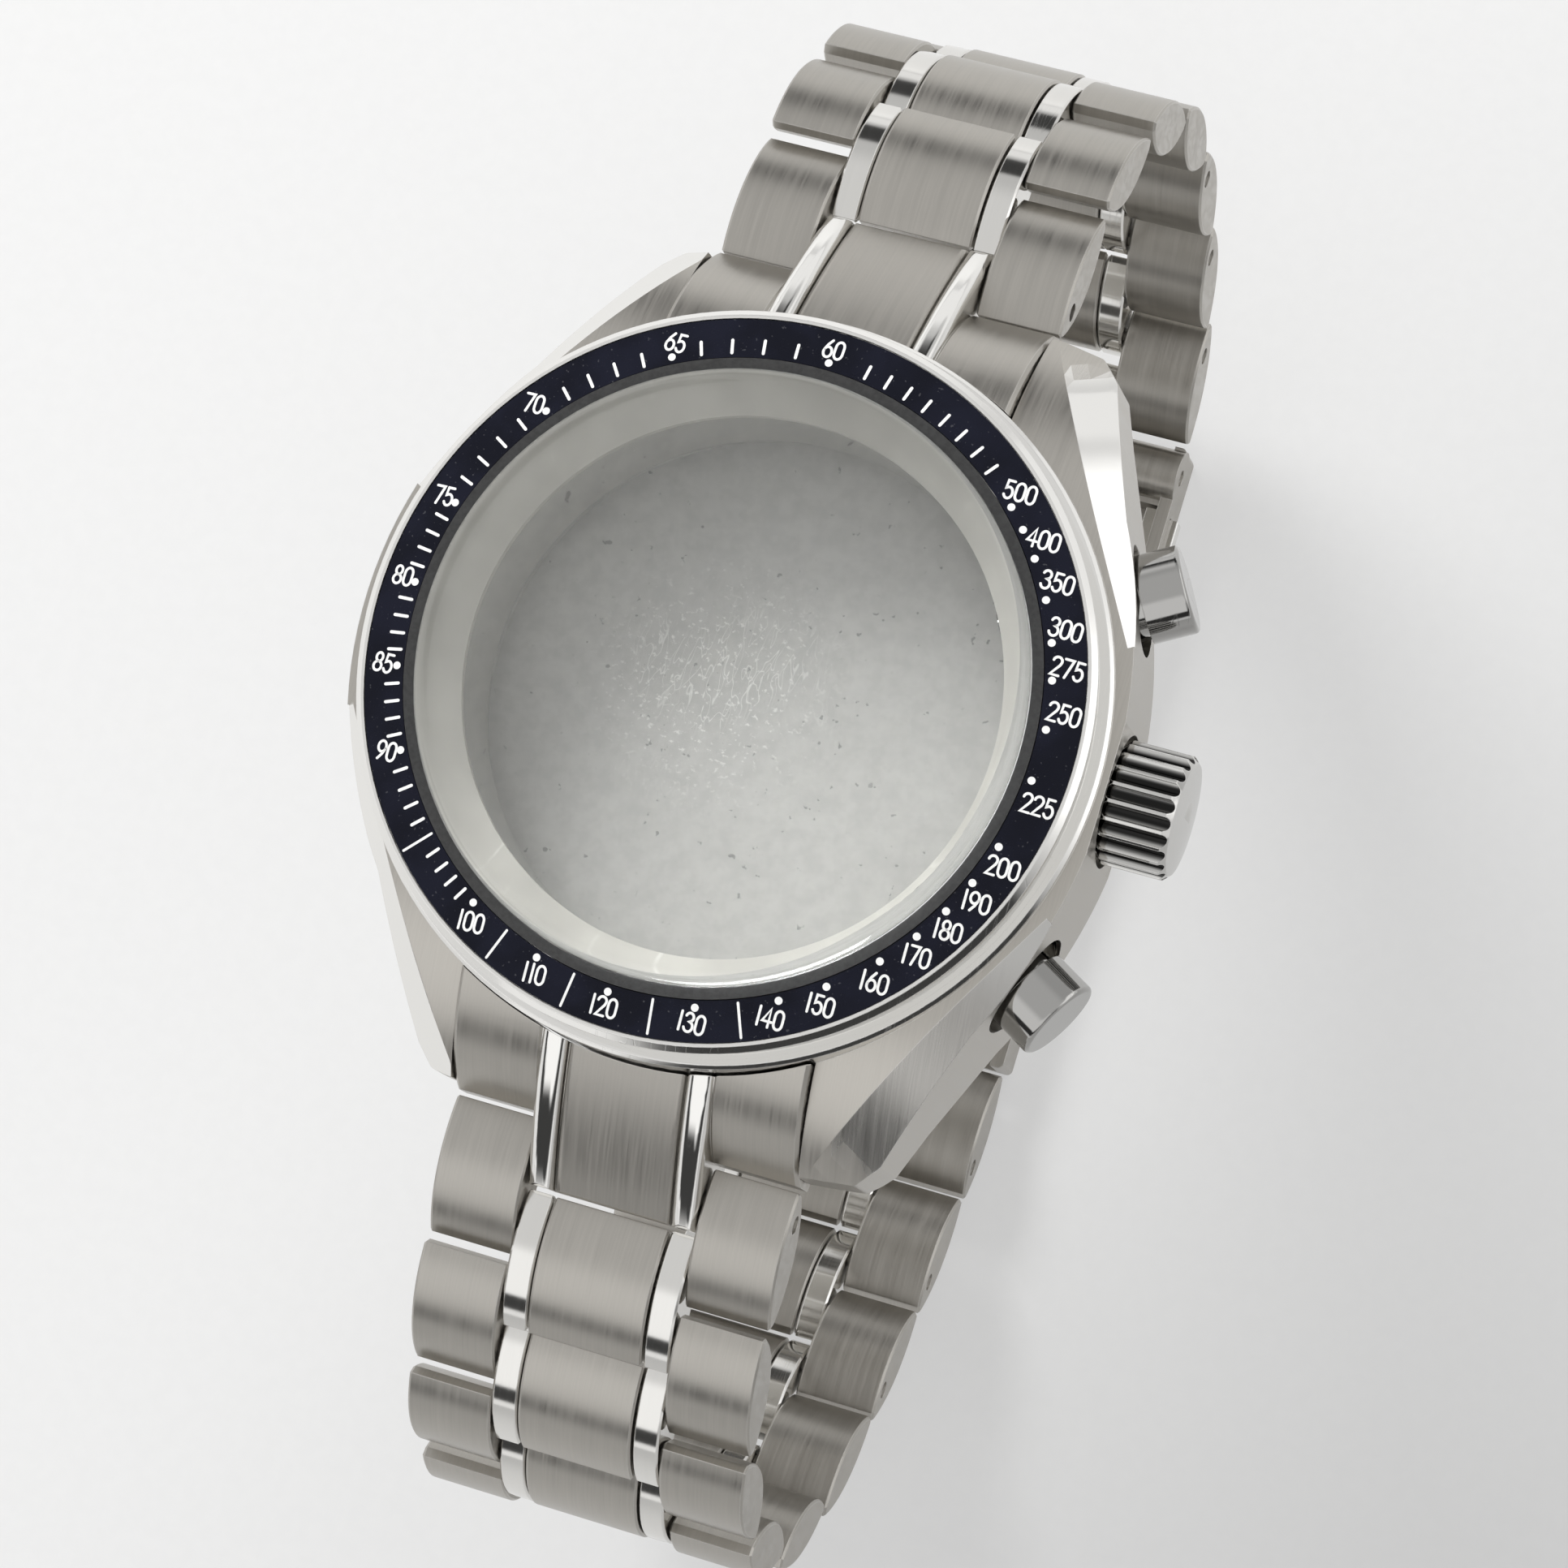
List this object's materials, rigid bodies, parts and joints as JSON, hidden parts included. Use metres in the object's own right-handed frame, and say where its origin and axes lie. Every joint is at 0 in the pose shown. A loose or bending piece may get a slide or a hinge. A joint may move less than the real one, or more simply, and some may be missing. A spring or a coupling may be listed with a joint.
{
  "type": "empty watch case",
  "caption": "Empty steel chronograph case with a domed crystal, a black scale bezel, crown and pushers, on a link bracelet closed by a folding clasp.",
  "frame": {"origin": "on the dial axis, in the plane of the ledge that the dial rests on", "axes": "+Z out of the crystal, +X to 3 o'clock (the crown), +Y to 12 o'clock"},
  "size_m": [0.0458, 0.0878, 0.058],
  "materials": {
    "steel_brushed": "brushed",
    "steel_polished": "polished",
    "steel_satin": "satin",
    "spring_steel": "drawn",
    "insert_black": "anodised gloss",
    "crystal_glass": "clear",
    "seal_black": "matt"
  },
  "bodies": {
    "case": {"case_middle": "steel_brushed", "bezel": "steel_polished", "bezel_insert": "insert_black", "crystal": "crystal_glass", "crystal_gasket": "seal_black", "rehaut_ring": "steel_satin", "case_back": "steel_brushed", "case_back_gasket": "seal_black", "crown_tube": "steel_polished", "pusher_tube_upper": "steel_polished", "pusher_tube_lower": "steel_polished", "pusher_spring_upper": "spring_steel", "pusher_spring_lower": "spring_steel", "pusher_seal_upper": "seal_black", "pusher_seal_lower": "seal_black", "spring_bar_12": "steel_satin", "spring_bar_6": "steel_satin", "end_link_12": "steel_brushed", "end_link_6": "steel_brushed"},
    "crown": {"crown": "steel_polished"},
    "crown_carrier": {"crown_gasket": "seal_black"},
    "pusher_upper": {"pusher_upper": "steel_polished"},
    "pusher_lower": {"pusher_lower": "steel_polished"},
    "clasp_cover": {"clasp_cover": "steel_brushed"},
    "clasp_inner_blade": {"clasp_inner_blade": "steel_satin"},
    "clasp_outer_blade": {"clasp_outer_blade": "steel_satin"},
    "clasp_button_right": {"clasp_button_right": "steel_polished"},
    "clasp_button_left": {"clasp_button_left": "steel_polished"},
    "link_12_1": {"link_12_1_outer": "steel_brushed", "link_12_1_centre": "steel_brushed"},
    "link_12_2": {"link_12_2_outer": "steel_brushed", "link_12_2_centre": "steel_brushed"},
    "link_12_3": {"link_12_3_outer": "steel_brushed", "link_12_3_centre": "steel_brushed"},
    "link_12_4": {"link_12_4_outer": "steel_brushed", "link_12_4_centre": "steel_brushed"},
    "link_12_5": {"link_12_5_outer": "steel_brushed", "link_12_5_centre": "steel_brushed"},
    "link_12_6": {"link_12_6_outer": "steel_brushed", "link_12_6_centre": "steel_brushed"},
    "link_12_7": {"link_12_7_outer": "steel_brushed", "link_12_7_centre": "steel_brushed"},
    "link_6_1": {"link_6_1_outer": "steel_brushed", "link_6_1_centre": "steel_brushed"},
    "link_6_2": {"link_6_2_outer": "steel_brushed", "link_6_2_centre": "steel_brushed"},
    "link_6_3": {"link_6_3_outer": "steel_brushed", "link_6_3_centre": "steel_brushed"},
    "link_6_4": {"link_6_4_outer": "steel_brushed", "link_6_4_centre": "steel_brushed"},
    "link_6_5": {"link_6_5_outer": "steel_brushed", "link_6_5_centre": "steel_brushed"},
    "link_6_6": {"link_6_6_outer": "steel_brushed", "link_6_6_centre": "steel_brushed"},
    "link_6_7": {"link_6_7_outer": "steel_brushed", "link_6_7_centre": "steel_brushed"},
    "link_6_8": {"link_6_8_outer": "steel_brushed", "link_6_8_centre": "steel_brushed"},
    "link_6_9": {"link_6_9_outer": "steel_brushed", "link_6_9_centre": "steel_brushed"}
  },
  "joints": [
    {"name": "crown_pull", "type": "slide", "parent": "case", "child": "crown_carrier", "axis": [1, 0, 0], "range_m": [0, 0.0012]},
    {"name": "crown_turn", "type": "hinge", "parent": "crown_carrier", "child": "crown", "pos_m": [0, 0, -0.0031], "axis": [1, 0, 0], "continuous": true},
    {"name": "pusher_upper_press", "type": "slide", "parent": "case", "child": "pusher_upper", "axis": [-0.8704, -0.4924, 0], "range_m": [0, 0.0012], "stiffness_N_per_m": 800, "springref_m": -0.001, "deforming": ["pusher_spring_upper"]},
    {"name": "pusher_lower_press", "type": "slide", "parent": "case", "child": "pusher_lower", "axis": [-0.8704, 0.4924, 0], "range_m": [0, 0.0012], "stiffness_N_per_m": 800, "springref_m": -0.001, "deforming": ["pusher_spring_lower"]},
    {"name": "link_6_1_pivot", "type": "hinge", "parent": "case", "child": "link_6_1", "pos_m": [0, -0.026, -0.0073], "axis": [1, 0, 0], "range_deg": [-11, 0]},
    {"name": "link_6_2_pivot", "type": "hinge", "parent": "link_6_1", "child": "link_6_2", "pos_m": [0, -0.03352, -0.01004], "axis": [1, 0, 0], "range_deg": [-23, 0]},
    {"name": "link_6_3_pivot", "type": "hinge", "parent": "link_6_2", "child": "link_6_3", "pos_m": [0, -0.03965, -0.01518], "axis": [1, 0, 0], "range_deg": [-29, 0]},
    {"name": "link_6_4_pivot", "type": "hinge", "parent": "link_6_3", "child": "link_6_4", "pos_m": [0, -0.0429, -0.02249], "axis": [1, 0, 0], "range_deg": [-31, 0]},
    {"name": "link_6_5_pivot", "type": "hinge", "parent": "link_6_4", "child": "link_6_5", "pos_m": [0, -0.04234, -0.03047], "axis": [1, 0, 0], "range_deg": [-29, 0]},
    {"name": "link_6_6_pivot", "type": "hinge", "parent": "link_6_5", "child": "link_6_6", "pos_m": [0, -0.03834, -0.0374], "axis": [1, 0, 0], "range_deg": [-25, 0]},
    {"name": "link_6_7_pivot", "type": "hinge", "parent": "link_6_6", "child": "link_6_7", "pos_m": [0, -0.03204, -0.04232], "axis": [1, 0, 0], "range_deg": [-13, 0]},
    {"name": "link_6_8_pivot", "type": "hinge", "parent": "link_6_7", "child": "link_6_8", "pos_m": [0, -0.02497, -0.04608], "axis": [1, 0, 0], "range_deg": [-11, 0]},
    {"name": "link_6_9_pivot", "type": "hinge", "parent": "link_6_8", "child": "link_6_9", "pos_m": [0, -0.01746, -0.04881], "axis": [1, 0, 0], "range_deg": [-19.75, 0]},
    {"name": "clasp_pivot_6", "type": "hinge", "parent": "link_6_9", "child": "clasp_inner_blade", "pos_m": [0, -0.00947, -0.04927], "axis": [1, 0, 0], "range_deg": [-10, 0]},
    {"name": "clasp_fold", "type": "hinge", "parent": "clasp_inner_blade", "child": "clasp_outer_blade", "pos_m": [0, 0.02234, -0.04972], "axis": [1, 0, 0], "range_deg": [0, 170]},
    {"name": "clasp_cover_fold", "type": "hinge", "parent": "clasp_outer_blade", "child": "clasp_cover", "pos_m": [0, -0.00487, -0.05037], "axis": [1, 0, 0], "range_deg": [-170, 0]},
    {"name": "link_12_7_pivot", "type": "hinge", "parent": "clasp_cover", "child": "link_12_7", "pos_m": [0, 0.02694, -0.04927], "axis": [1, 0, 0], "range_deg": [-33, 0]},
    {"name": "link_12_6_pivot", "type": "hinge", "parent": "link_12_7", "child": "link_12_6", "pos_m": [0, 0.03387, -0.04527], "axis": [1, 0, 0], "range_deg": [-29, 0]},
    {"name": "link_12_5_pivot", "type": "hinge", "parent": "link_12_6", "child": "link_12_5", "pos_m": [0, 0.03834, -0.03863], "axis": [1, 0, 0], "range_deg": [-17, 0]},
    {"name": "link_12_4_pivot", "type": "hinge", "parent": "link_12_5", "child": "link_12_4", "pos_m": [0, 0.04108, -0.03112], "axis": [1, 0, 0], "range_deg": [-19, 0]},
    {"name": "link_12_3_pivot", "type": "hinge", "parent": "link_12_4", "child": "link_12_3", "pos_m": [0, 0.04164, -0.02314], "axis": [1, 0, 0], "range_deg": [-25, 0]},
    {"name": "link_12_2_pivot", "type": "hinge", "parent": "link_12_3", "child": "link_12_2", "pos_m": [0, 0.03917, -0.01553], "axis": [1, 0, 0], "range_deg": [-29, 0]},
    {"name": "link_12_1_pivot", "type": "hinge", "parent": "link_12_2", "child": "link_12_1", "pos_m": [0, 0.03361, -0.00977], "axis": [1, 0, 0], "range_deg": [-31, 0]},
    {"name": "clasp_button_right_press", "type": "slide", "parent": "clasp_cover", "child": "clasp_button_right", "axis": [-1, 0, 0], "range_m": [0, 0.0005], "stiffness_N_per_m": 800, "springref_m": -0.0005},
    {"name": "clasp_button_left_press", "type": "slide", "parent": "clasp_cover", "child": "clasp_button_left", "axis": [1, 0, 0], "range_m": [0, 0.0005], "stiffness_N_per_m": 800, "springref_m": -0.0005}
  ],
  "couplings": [
    {"joint": "clasp_cover_fold", "follows": "clasp_fold", "ratio": -1}
  ]
}
